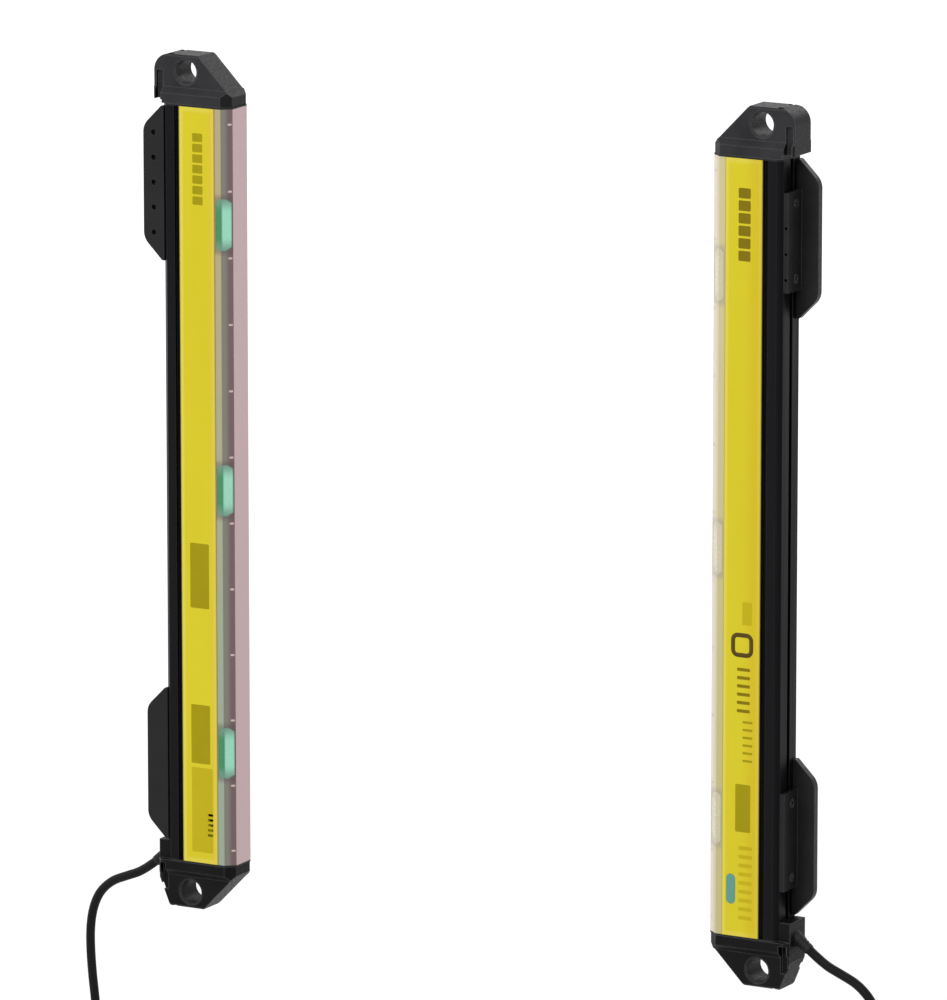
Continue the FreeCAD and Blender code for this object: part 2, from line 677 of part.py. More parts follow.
def plug_axis():
    points = cable_points()
    return points[-1], (points[-1] - points[-2]).normalize()


def plug_body():
    start, axis = plug_axis()
    r = PLUG_DIAMETER / 2
    grip = PLUG_TAIL + PLUG_GRIP
    body = turned(
        [
            (0, 0),
            (0, BOOT_TIP / 2),
            (PLUG_TAIL, r),
            (grip, r),
            (grip, PLUG_NOSE_DIAMETER / 2),
            (grip + PLUG_NOSE, PLUG_NOSE_DIAMETER / 2),
            (grip + PLUG_NOSE, 0),
        ],
        start,
        axis,
    )
    flat = r - PLUG_FLATS / 2
    cuts = []
    for side in (-1, 1):
        middle = start + axis * (PLUG_TAIL + PLUG_GRIP / 2) + Y_AXIS * side * (r - flat / 2)
        plate = Part.makeBox(PLUG_DIAMETER, flat, PLUG_GRIP / 2, Vector(-r, -flat / 2, -PLUG_GRIP / 4))
        plate.Placement = FreeCAD.Placement(middle, FreeCAD.Rotation(Z_AXIS, axis))
        cuts.append(plate)
    return body.cut(cuts + plug_contacts())


def contact_places():
    start, axis = plug_axis()
    face = start + axis * (PLUG_TAIL + PLUG_GRIP + PLUG_NOSE)
    side = axis.cross(Y_AXIS).normalize()
    places = [face]
    for i in range(CONTACTS):
        a = 2 * math.pi * i / CONTACTS
        places.append(face + (side * math.cos(a) + Y_AXIS * math.sin(a)) * (CONTACT_CIRCLE / 2))
    return places


def plug_contacts():
    """A middle pin and a ring of pins, each flush with the plug's face."""
    axis = plug_axis()[1]
    feet = [pin - axis * CONTACT_LENGTH for pin in contact_places()]
    return [rod(CONTACT_DIAMETER, CONTACT_LENGTH, foot, axis) for foot in feet]


def plug_seal():
    start, axis = plug_axis()
    h = PLUG_TAIL + PLUG_GRIP
    outer, inner = SEAL_DIAMETER / 2, PLUG_NOSE_DIAMETER / 2
    return turned([(h, inner), (h, outer), (h + SEAL_WIDTH, outer), (h + SEAL_WIDTH, inner)], start, axis)


# ---- Both units ----
def unit_parts(is_emitter):
    screws, nuts = bracket_screws(), slot_nuts()
    parts = {
        "housing": [housing()],
        "front_panel": [side_panel(-1 if is_emitter else 1, not is_emitter)],
        "rear_panel": [side_panel(1 if is_emitter else -1, False)],
        "window": [window()],
        "lamp_lenses": lamp_lenses(),
        "light_pipes": indicator_pipes(),
        "indicator_diodes": indicator_diodes(),
        "circuit_board": [circuit_board()],
        "optics_carrier": [optics_carrier()],
        "lenses": lenses(),
        "top_cap": [top_cap()],
        "bottom_cap": [bottom_cap()],
        "top_gasket": [gasket()],
        "bottom_gasket": [upside_down(gasket())],
        "cap_screws": cap_screws(),
        "upper_bracket": upper([bracket(True)]),
        "lower_bracket": lower([bracket(False)]),
        "bracket_screws": upper(screws) + lower(screws),
        "slot_nuts": upper(nuts) + lower(nuts),
        "strain_relief": [strain_relief()],
        "cable": [cable()],
        "plug_body": [plug_body()],
        "plug_contacts": plug_contacts(),
        "plug_seal": [plug_seal()],
    }
    if is_emitter:
        parts["infrared_diodes"] = emitter_diodes()
    else:
        parts["photodiodes"] = receiver_diodes()
        parts["status_lens"] = [status_shape(1)]
    return parts


def placed(shape, is_emitter):
    moved = shape.translated(Vector(BACK_X, 0, 0))
    return moved if is_emitter else moved.rotated(Vector(), Z_AXIS, 180)


def main():
    os.makedirs("parts", exist_ok=True)
    for prefix, is_emitter in (("emitter", True), ("receiver", False)):
        for name, shapes in unit_parts(is_emitter).items():
            solids = [solid for s in shapes for solid in placed(s, is_emitter).Solids]
            node = solids[0] if len(solids) == 1 else Part.makeCompound(solids)
            node.exportStep(f"parts/{prefix}_{name}.step")
            print(prefix, name, len(solids), round(node.Volume), node.isValid())


main()
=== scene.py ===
import math

import bmesh
import bpy
from mathutils import Matrix, Vector


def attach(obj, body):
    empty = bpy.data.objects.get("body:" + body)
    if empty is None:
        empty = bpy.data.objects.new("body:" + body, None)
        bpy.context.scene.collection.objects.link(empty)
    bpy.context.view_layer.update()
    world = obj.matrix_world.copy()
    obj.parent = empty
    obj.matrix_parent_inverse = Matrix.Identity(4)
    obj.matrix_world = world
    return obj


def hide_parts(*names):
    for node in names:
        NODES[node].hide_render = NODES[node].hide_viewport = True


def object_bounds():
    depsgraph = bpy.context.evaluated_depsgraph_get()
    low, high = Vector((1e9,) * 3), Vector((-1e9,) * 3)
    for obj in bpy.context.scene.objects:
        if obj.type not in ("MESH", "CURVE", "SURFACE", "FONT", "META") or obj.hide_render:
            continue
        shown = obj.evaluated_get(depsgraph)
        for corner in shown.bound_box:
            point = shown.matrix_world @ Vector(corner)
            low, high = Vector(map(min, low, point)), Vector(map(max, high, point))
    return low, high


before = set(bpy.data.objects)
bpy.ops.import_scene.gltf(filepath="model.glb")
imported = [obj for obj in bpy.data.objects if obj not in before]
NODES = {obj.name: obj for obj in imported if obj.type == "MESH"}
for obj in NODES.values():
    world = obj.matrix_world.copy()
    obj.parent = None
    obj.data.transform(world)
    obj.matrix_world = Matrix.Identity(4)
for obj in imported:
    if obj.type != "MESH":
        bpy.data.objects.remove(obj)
CAD_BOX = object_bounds()
UNITS = ("emitter", "receiver")
MM = 0.001

# ---- Sizes of a unit, in metres ----
BEAMS = 12
BEAM_PITCH = 0.040
HALF_GAP = 0.160            # from the middle of the zone to a window's face
UNIT_DEPTH = 0.046
HALF_THICKNESS = 0.013
HOUSING_HALF = 0.229        # half of the housing's length
NOSE_RUN = 0.006            # slanted corner of the window, along X
NOSE_INSET = 0.005          # the same corner, along Y
LAMP_HEIGHTS = (0.160, 0.0, -0.160)
LAMP_HALF = 0.0155          # half of a lamp's length
PANEL_BACK = 0.012          # back and front edges of the yellow panel, from the back plane
PANEL_FRONT = 0.036
PANEL_FACE = 0.0133         # outer face of the yellow panel, from the middle plane
BACK_PLANE = HALF_GAP + UNIT_DEPTH
PANEL_MIDDLE = BACK_PLANE - (PANEL_BACK + PANEL_FRONT) / 2
PANEL_HALF = (PANEL_FRONT - PANEL_BACK) / 2

# ---- Print, and the beam marks of painted glow ----
PRINT_THICKNESS = 0.0001
PRINT_PROUD = 0.00002       # how far the ink stands out of the panel
MARK_THICKNESS = 0.00015
MARK_SUNK = 0.0001          # how deep a beam mark stands in the window
MARK_SHARE = 0.74           # its place across the slant, from the side strip to the flat face

# ---- Cable: each point of its route is (behind the start, to its side, below it) ----
CABLE_DIAMETER = 0.0055
CABLE_START = Vector((-0.22088, 0.0, -0.23516))
CABLE_ROUTE = (
    (0.0, 0.0, 0.0),
    (0.0094, 0.0, 0.00735),
    (0.0206, 0.0003, 0.0118),
    (0.0330, 0.0009, 0.0168),
    (0.0436, 0.0019, 0.0272),
    (0.0494, 0.0032, 0.0448),
    (0.0498, 0.0046, 0.0700),
    (0.0470, 0.0055, 0.0985),
    (0.0446, 0.0057, 0.1280),
    (0.0465, 0.0050, 0.1536),
    (0.0493, 0.0037, 0.1784),
)

# ---- Plug: its outline is in mm, as distance past the cable's end and radius ----
PLUG_OUTLINE = (
    (0.0, 3.20), (0.4, 3.42), (11.5, 6.15), (12.2, 6.25), (26.5, 6.25), (26.9, 6.10),
    (27.0, 5.80), (27.0, 4.80), (35.4, 4.80), (35.7, 4.70), (35.8, 4.45),
)
PLUG_FACETS = 56
PLUG_CREASE = math.radians(32)
GRIP_DEPTH = 0.0056         # from the plug's axis to the foot of the grip bars
GRIP_START = 0.0235         # the first grip bar, from the cable's end
TAIL_START = 0.0100         # the bead nearest the grip
KNURL_START = 0.0294

# ---- Camera, light and floor ----
CAMERA_AZIMUTH = math.radians(29.17)
CAMERA_DISTANCE = 5.4507    # from the pair, along the ground
CAMERA_HEIGHT = 1.1466
CAMERA_LENS = 342.14
CAMERA_SHIFT = (-0.0035, 0.0151)
CAMERA_REACH = 60.0
WHITE = (1.0, 1.0, 1.0, 1.0)
FLOOR_COLOUR = (0.86, 0.86, 0.86, 1.0)
SURROUND_STRENGTH = 0.60
FLOOR_DROP = 0.004          # below the lowest point of the plugs
FLOOR_REACH = 14.0
FLOOR_NEAR, FLOOR_FAR = 0.6, 3.2
GLOW_NEAR, GLOW_FAR = 0.22, 0.52

# ---- Materials ----
BEVEL_SAMPLES = 4
GRAIN_DETAIL = 4.0
CLOUD_DETAIL = 2.0
CLOUD_RATIO = 12            # the slow change of shade is this much larger than the grain
WEAR_AND_SHEEN_GAIN = 6.0             # how sharply the lighter edge, partly wear and partly painted highlight, sets in as an edge turns


def add_object(name, data):
    """A new object in the scene, at the origin, unturned and unscaled."""
    thing = bpy.data.objects.new(name, data)
    bpy.context.scene.collection.objects.link(thing)
    return thing


def aim_at_pair(thing, place):
    thing.location = place
    thing.rotation_mode = "QUATERNION"
    thing.rotation_quaternion = (-Vector(place)).to_track_quat("-Z", "Y")


def feed(tree, socket, value):
    """Links a socket to another one, or gives it a constant."""
    if isinstance(value, bpy.types.NodeSocket):
        tree.links.new(value, socket)
    else:
        socket.default_value = value


def set_range(node, start, end, low, high):
    for label, number in (("From Min", start), ("From Max", end), ("To Min", low), ("To Max", high)):
        node.inputs[label].default_value = number


def settle(shape, mesh):
    """Turns a closed shape's faces outwards and writes it to a mesh."""
    bmesh.ops.recalc_face_normals(shape, faces=shape.faces)
    shape.to_mesh(mesh)
    shape.free()


# ---- Camera, light and floor ----
def make_camera():
    data = bpy.data.cameras.new("camera")
    data.sensor_width = 36.0
    data.lens = CAMERA_LENS
    data.shift_x, data.shift_y = CAMERA_SHIFT
    data.clip_end = CAMERA_REACH
    camera = add_object("camera", data)
    x = CAMERA_DISTANCE * math.sin(CAMERA_AZIMUTH)
    y = -CAMERA_DISTANCE * math.cos(CAMERA_AZIMUTH)
    aim_at_pair(camera, (x, y, CAMERA_HEIGHT))
    bpy.context.scene.camera = camera


def make_softbox(name, place, size, power):
    data = bpy.data.lights.new(name, "AREA")
    data.shape = "RECTANGLE"
    data.size, data.size_y = size
    data.energy = power
    aim_at_pair(add_object(name, data), place)


def make_world():
    """Soft light from all round, with plain white where the backdrop is seen."""
    world = bpy.data.worlds.new("studio")
    bpy.context.scene.world = world
    world.use_nodes = True
    tree = world.node_tree
    tree.nodes.clear()
    mix = tree.nodes.new("ShaderNodeMixShader")
    tree.links.new(rays_that_see_the_backdrop(tree), mix.inputs["Fac"])
    for slot, strength in ((1, SURROUND_STRENGTH), (2, 1.0)):
        background = tree.nodes.new("ShaderNodeBackground")
        background.inputs["Color"].default_value = WHITE
        background.inputs["Strength"].default_value = strength
        tree.links.new(background.outputs[0], mix.inputs[slot])
    out = tree.nodes.new("ShaderNodeOutputWorld")
    tree.links.new(mix.outputs[0], out.inputs["Surface"])


def rays_that_see_the_backdrop(tree):
    """1 for camera, glossy and transmission rays, so that what they meet shows plain white."""
    path = tree.nodes.new("ShaderNodeLightPath")
    seen = path.outputs["Is Camera Ray"]
    for kind in ("Is Glossy Ray", "Is Transmission Ray"):
        total = tree.nodes.new("ShaderNodeMath")
        total.operation = "MAXIMUM"
        tree.links.new(seen, total.inputs[0])
        tree.links.new(path.outputs[kind], total.inputs[1])
        seen = total.outputs[0]
    return seen


def make_floor():
    """A plain pale floor. Its own glow makes it up to white far from the pair, where less light falls."""
    level = CAD_BOX[0].z - FLOOR_DROP
    signs = ((-1, -1), (1, -1), (1, 1), (-1, 1))
    corners = [(x * FLOOR_REACH, y * FLOOR_REACH, level) for x, y in signs]
    mesh = bpy.data.meshes.new("floor")
    mesh.from_pydata(corners, [], [(0, 1, 2, 3)])
    floor = add_object("floor", mesh)
    material = bpy.data.materials.new("studio_floor")
    material.use_nodes = True
    tree = material.node_tree
    tree.nodes.clear()
    seen = rays_that_see_the_backdrop(tree)
    paint = tree.nodes.new("ShaderNodeBsdfDiffuse")
    paint.inputs["Color"].default_value = FLOOR_COLOUR
    place = tree.nodes.new("ShaderNodeTexCoord")
    away = tree.nodes.new("ShaderNodeVectorMath")
    away.operation = "LENGTH"
    share = tree.nodes.new("ShaderNodeMapRange")
    set_range(share, FLOOR_NEAR, FLOOR_FAR, GLOW_NEAR, GLOW_FAR)
    strength = tree.nodes.new("ShaderNodeMath")
    strength.operation = "MULTIPLY"
    glow = tree.nodes.new("ShaderNodeEmission")
    add = tree.nodes.new("ShaderNodeAddShader")
    out = tree.nodes.new("ShaderNodeOutputMaterial")
    tree.links.new(place.outputs["Object"], away.inputs[0])
    tree.links.new(away.outputs["Value"], share.inputs["Value"])
    tree.links.new(seen, strength.inputs[0])
    tree.links.new(share.outputs[0], strength.inputs[1])
    tree.links.new(strength.outputs[0], glow.inputs["Strength"])
    tree.links.new(paint.outputs[0], add.inputs[0])
    tree.links.new(glow.outputs[0], add.inputs[1])
    tree.links.new(add.outputs[0], out.inputs["Surface"])
    mesh.materials.append(material)


# ---- Materials ----
class Finish:
    """A procedural surface: two shades mixed by noise, an uneven roughness and a fine bump."""

    def __init__(self, name, light, dark, scale, rough, bump, stretch=(1.0, 1.0, 1.0), depth=0.0002,
                 gloss=0.5, edge=0.0):
        self.material = bpy.data.materials.new(name)
        self.material.use_nodes = True
        self.tree = self.material.node_tree
        self.shader = self.tree.nodes["Principled BSDF"]
        self.constant("Specular IOR Level", gloss)
        self.place = self.node("ShaderNodeTexCoord").outputs["Object"]
        mapping = self.node("ShaderNodeMapping")
        mapping.inputs["Scale"].default_value = stretch
        self.link(self.place, mapping.inputs["Vector"])
        self.grain = self.noise(scale, mapping.outputs[0], GRAIN_DETAIL)
        self.cloud = self.noise(scale / CLOUD_RATIO, mapping.outputs[0], CLOUD_DETAIL)
        self.colour = self.mix(self.cloud, dark, light)
        self.link(self.colour, self.shader.inputs["Base Color"])
        self.link(self.span(self.grain, *rough), self.shader.inputs["Roughness"])
        relief = self.node("ShaderNodeBump")
        relief.inputs["Strength"].default_value = bump
        relief.inputs["Distance"].default_value = depth
        self.link(self.grain, relief.inputs["Height"])
        self.link(relief.outputs[0], self.shader.inputs["Normal"])
        if edge:
            self.link(self.rounded_normal(edge), relief.inputs["Normal"])

    def node(self, kind):
        return self.tree.nodes.new(kind)

    def link(self, a, b):
        self.tree.links.new(a, b)

    def constant(self, label, value):
        self.shader.inputs[label].default_value = value

    def noise(self, scale, vector, detail):
        texture = self.node("ShaderNodeTexNoise")
        texture.inputs["Scale"].default_value = scale
        texture.inputs["Detail"].default_value = detail
        self.link(vector, texture.inputs["Vector"])
        return texture.outputs["Fac"]

    def span(self, value, low, high, start=0.3, end=0.7):
        """Carries a value from start..end to low..high, and holds it outside them."""
        ramp = self.node("ShaderNodeMapRange")
        ramp.interpolation_type = "SMOOTHSTEP"
        set_range(ramp, start, end, low, high)
        self.link(value, ramp.inputs["Value"])
        return ramp.outputs[0]

    def math(self, operation, a, b=0.0):
        node = self.node("ShaderNodeMath")
        node.operation = operation
        feed(self.tree, node.inputs[0], a)
        feed(self.tree, node.inputs[1], b)
        return node.outputs[0]

    def mix(self, factor, a, b):
        node = self.node("ShaderNodeMix")
        node.data_type = "RGBA"
        self.link(factor, node.inputs["Factor"])
        for key, value in (("A", a), ("B", b)):
            socket = [s for s in node.inputs if s.name == key and s.type == "RGBA"][0]
            feed(self.tree, socket, (*value, 1.0) if isinstance(value, tuple) else value)
        return [s for s in node.outputs if s.type == "RGBA"][0]

    def part(self, vector, letter):
        parts = self.node("ShaderNodeSeparateXYZ")
        self.link(vector, parts.inputs[0])
        return parts.outputs[letter]

    def axis(self, letter):
        return self.part(self.place, letter)

    def away(self, letter, middle=0.0):
        """How far a point lies from the object's middle along an axis, less a given distance."""
        return self.math("SUBTRACT", self.math("ABSOLUTE", self.axis(letter)), middle)

    def paint_over(self, mask, colour):
        """Mixes another colour in where the mask is 1."""
        self.colour = self.mix(mask, self.colour, colour)
        self.link(self.colour, self.shader.inputs["Base Color"])

    def true_normal(self):
        return self.node("ShaderNodeNewGeometry").outputs["Normal"]

    def rounded_normal(self, radius):
        bevel = self.node("ShaderNodeBevel")
        bevel.samples = BEVEL_SAMPLES
        bevel.inputs["Radius"].default_value = radius
        return bevel.outputs[0]

    def worn_and_lit_edges(self, colour, radius, amount):
        """Lightens the outer edges, found by comparing a rounded normal with the true one: partly wear,
        partly painted highlight.
        """
        dot = self.node("ShaderNodeVectorMath")
        dot.operation = "DOT_PRODUCT"
        self.link(self.rounded_normal(radius), dot.inputs[0])
        self.link(self.true_normal(), dot.inputs[1])
        edge = self.math("MULTIPLY", self.math("SUBTRACT", 1.0, dot.outputs["Value"]), WEAR_AND_SHEEN_GAIN * amount)
        clamp = self.node("ShaderNodeClamp")
        self.link(self.math("MULTIPLY", edge, self.grain), clamp.inputs[0])
        clamp.inputs["Max"].default_value = amount
        self.paint_over(clamp.outputs[0], colour)

    def from_lamp(self):
        """How far along the unit a point lies from the middle of the nearest lamp."""
        along = self.axis("Z")
        nearest, *others = [self.math("ABSOLUTE", self.math("SUBTRACT", along, z)) for z in LAMP_HEIGHTS]
        for distance in others:
            nearest = self.math("MINIMUM", nearest, distance)
        return nearest


def srgb(r, g, b):
    def linear(v):
        v /= 255
        return v / 12.92 if v <= 0.04045 else ((v + 0.055) / 1.055) ** 2.4
    return linear(r), linear(g), linear(b)


def shaded(colour, share):
    return tuple(v * share for v in colour)


def black_extrusion():
    """Black anodised aluminium with faint lines drawn along its length, and painted shade in its grooves.
    """
    finish = Finish(
        "black_extrusion", srgb(24, 22, 26), srgb(8, 8, 9), 260.0, rough=(0.30, 0.48), bump=0.08,
        stretch=(1.0, 1.0, 0.02), gloss=0.07, edge=0.0005,
    )
    # Painted shade: faces set in from the sides, as in the grooves, are darkened.
    groove_shade = finish.span(finish.away("Y"), 1.0, 0.0, HALF_THICKNESS - 0.0018, HALF_THICKNESS - 0.0008)
    finish.paint_over(finish.math("MULTIPLY", groove_shade, 0.8), srgb(6, 6, 6))
    # Painted highlight: bluish grey along the outer edges, with a little wear.
    finish.worn_and_lit_edges(srgb(88, 86, 92), 0.0005, 0.5)
    return finish.material


def cap_moulding(name, light, dark, gloss):
    """Dark grey moulding with a fine spark-eroded grain, with painted shade on the faces that look along
    X.
    """
    finish = Finish(
        name, light, dark, 700.0, rough=(0.32, 0.52), bump=0.16, depth=0.0003, gloss=gloss, edge=0.0008
    )
    # Painted shade: the faces that look along X are darkened.
    shade_along_x = finish.math("ABSOLUTE", finish.part(finish.true_normal(), "X"))
    finish.paint_over(finish.span(shade_along_x, 0.0, 0.85), srgb(12, 12, 14))
    # Painted highlight: light grey along the edges, with a little wear.
    finish.worn_and_lit_edges(srgb(140, 140, 142), 0.0009, 0.5)
    return finish.material


def bracket_coat():
    """Black powder coat with a slight orange peel."""
    finish = Finish(
        "bracket_coat", srgb(34, 34, 35), srgb(19, 20, 21), 520.0, rough=(0.32, 0.46), bump=0.14,
        depth=0.0003, gloss=0.16, edge=0.0006,
    )
    # Painted highlight: grey along the edges, with a little wear.
    finish.worn_and_lit_edges(srgb(96, 96, 99), 0.0006, 0.5)
    return finish.material


def plug_moulding():
    """Black moulding of the plug, a little glossier than the boot beside it."""
    finish = Finish(
        "plug_moulding", srgb(36, 36, 38), srgb(24, 24, 26), 800.0, rough=(0.3, 0.44), bump=0.1,
        gloss=0.3, edge=0.0004,
    )
    # Painted highlight: grey along the edges, with a little wear.
    finish.worn_and_lit_edges(srgb(90, 90, 93), 0.0004, 0.4)
    return finish.material


def yellow_coat():
    """Safety yellow, slightly uneven along each panel, with a painted highlight in a narrow pale border
    round it.
    """
    finish = Finish(
        "yellow_coat", srgb(219, 205, 36), srgb(209, 192, 24), 300.0, rough=(0.3, 0.42), bump=0.04,
        stretch=(1.0, 1.0, 0.25), gloss=0.2, edge=0.0004,
    )
    across = finish.math("ABSOLUTE", finish.away("X", PANEL_MIDDLE))
    # Painted highlight: a pale border along the sides and at the ends, where the panel's edges catch the
    # light
    side = finish.span(across, 0.0, 0.75, PANEL_HALF - 0.0030, PANEL_HALF - 0.0012)
    end = finish.span(finish.away("Z"), 0.0, 0.5, HOUSING_HALF - 0.0040, HOUSING_HALF - 0.0010)
    finish.paint_over(finish.math("MAXIMUM", side, end), srgb(226, 212, 92))
    # Golden band along the receiver's back edge
    back = finish.span(finish.axis("X"), 0.0, 0.55, PANEL_MIDDLE, PANEL_MIDDLE + 0.0080)
    finish.paint_over(back, srgb(208, 178, 18))
    # Golden band along the emitter's front edge
    front = finish.span(finish.axis("X"), 0.0, 0.5, 0.0060 - PANEL_MIDDLE, 0.0110 - PANEL_MIDDLE)
    front = finish.math("MULTIPLY", front, finish.math("LESS_THAN", finish.axis("X"), 0.0))
    finish.paint_over(front, srgb(218, 188, 66))
    # Painted shade: a dark line where the panel meets its neighbours
    lip_shade = finish.span(across, 0.0, 0.55, PANEL_HALF - 0.0010, PANEL_HALF - 0.0002)
    finish.paint_over(lip_shade, srgb(150, 134, 40))
    finish.constant("Coat Weight", 0.04)
    finish.constant("Coat Roughness", 0.15)
    return finish.material


def window_plastic(name, side_top, side_foot, slope_back, slope_front, front):
    """Tinted window moulding: its side strips, its slanted corners and its front face differ."""
    finish = Finish(
        name, slope_back, shaded(slope_back, 0.86), 120.0, rough=(0.1, 0.2), bump=0.015,
        stretch=(1.0, 1.0, 0.15), gloss=0.4, edge=0.0004,
    )
    out = finish.math("ABSOLUTE", finish.axis("X"))
    sideways = finish.math("ABSOLUTE", finish.axis("Y"))
    finish.paint_over(finish.span(out, 1.0, 0.0, HALF_GAP + 0.0018, HALF_GAP + 0.0044), slope_front)
    strip = finish.math("GREATER_THAN", sideways, HALF_THICKNESS - 0.0002)
    tint = finish.mix(finish.span(finish.axis("Z"), 1.0, 0.0, -0.20, 0.20), side_top, side_foot)
    finish.paint_over(finish.math("MULTIPLY", strip, finish.span(finish.cloud, 0.82, 1.0)), tint)
    # Painted shadow: the window is darkened round the ends of each lamp.
    lamp_shadow = finish.span(finish.from_lamp(), 0.45, 0.0, LAMP_HALF + 0.0002, LAMP_HALF + 0.0040)
    finish.paint_over(lamp_shadow, shaded(slope_front, 0.45))
    finish.paint_over(finish.math("LESS_THAN", out, HALF_GAP + 0.0002), front)
    finish.constant("Coat Weight", 0.3)
    finish.constant("Coat Roughness", 0.06)
    return finish.material


def lamp_plastic(name, side, slope, shaded_rim, glow):
    """Diffusing lamp moulding, brightest in the middle and dimmer towards its rim: painted shade that
    rounds its ends, which on the lit lamp dims its glow too.
    """
    finish = Finish(name, slope, shaded(slope, 0.92), 500.0, rough=(0.18, 0.3), bump=0.02, edge=0.0010)
    sideways = finish.math("ABSOLUTE", finish.axis("Y"))
    strip = finish.span(sideways, 0.0, 1.0, HALF_THICKNESS - 0.0010, HALF_THICKNESS - 0.0001)
    finish.paint_over(strip, side)
    # Painted shade: the lamp is darker towards its ends.
    finish.paint_over(finish.span(finish.from_lamp(), 0.0, 0.9, LAMP_HALF - 0.0085, LAMP_HALF), shaded_rim)
    finish.link(finish.colour, finish.shader.inputs["Emission Color"])
    finish.constant("Emission Strength", glow)
    finish.constant("Coat Weight", 0.3)
    return finish.material


def black_rubber(name, light, dark, scale):
    return Finish(
        name, light, dark, scale, rough=(0.5, 0.65), bump=0.15, gloss=0.25, edge=0.0003
    ).material


def clear_moulding():
    finish = Finish(
        "clear_moulding", (0.82, 0.84, 0.84), (0.74, 0.76, 0.77), 200.0, rough=(0.05, 0.12), bump=0.01
    )
    finish.constant("Transmission Weight", 0.85)
    return finish.material


def board_laminate():
    return Finish(
        "board_laminate", (0.03, 0.17, 0.07), (0.02, 0.12, 0.05), 700.0, rough=(0.35, 0.5), bump=0.05
    ).material


def carrier_moulding():
    return Finish(
        "carrier_moulding", (0.016, 0.016, 0.017), (0.01, 0.01, 0.011), 800.0, rough=(0.6, 0.75), bump=0.1
    ).material


def plated_steel():
    """Dark-plated steel of the screws, brighter where a tool has rubbed it."""
    finish = Finish(
        "plated_steel", (0.34, 0.34, 0.35), (0.2, 0.2, 0.21), 900.0, rough=(0.25, 0.42), bump=0.05
    )
    finish.constant("Metallic", 1.0)
    finish.worn_and_lit_edges((0.7, 0.7, 0.71), 0.0002, 0.6)
    return finish.material


def gilt_contact():
    finish = Finish(
        "gilt_contact", (0.85, 0.62, 0.26), (0.75, 0.52, 0.2), 900.0, rough=(0.18, 0.3), bump=0.03
    )
    finish.constant("Metallic", 1.0)
    return finish.material


def teal_lens():
    finish = Finish(
        "teal_lens", srgb(92, 158, 136), srgb(58, 124, 116), 60.0, rough=(0.12, 0.22), bump=0.02,
        edge=0.0008,
    )
    # Painted glow: a yellow-green light round the edge of the lens.
    finish.worn_and_lit_edges(srgb(120, 170, 60), 0.0012, 0.5)
    finish.constant("Coat Weight", 0.3)
    return finish.material


def print_and_glow_ink(name, light, dark):
    """Screen-printed ink, a darker shade of the yellow under it, thinner in places; in pale pink it also
    makes the beam marks, a painted glow.
    """
    return Finish(name, light, dark, 420.0, rough=(0.36, 0.5), bump=0.03, gloss=0.14).material


def cable_jacket():
    return Finish(
        "cable_jacket", srgb(23, 23, 24), srgb(14, 14, 15), 500.0, rough=(0.42, 0.56), bump=0.1, gloss=0.1
    ).material


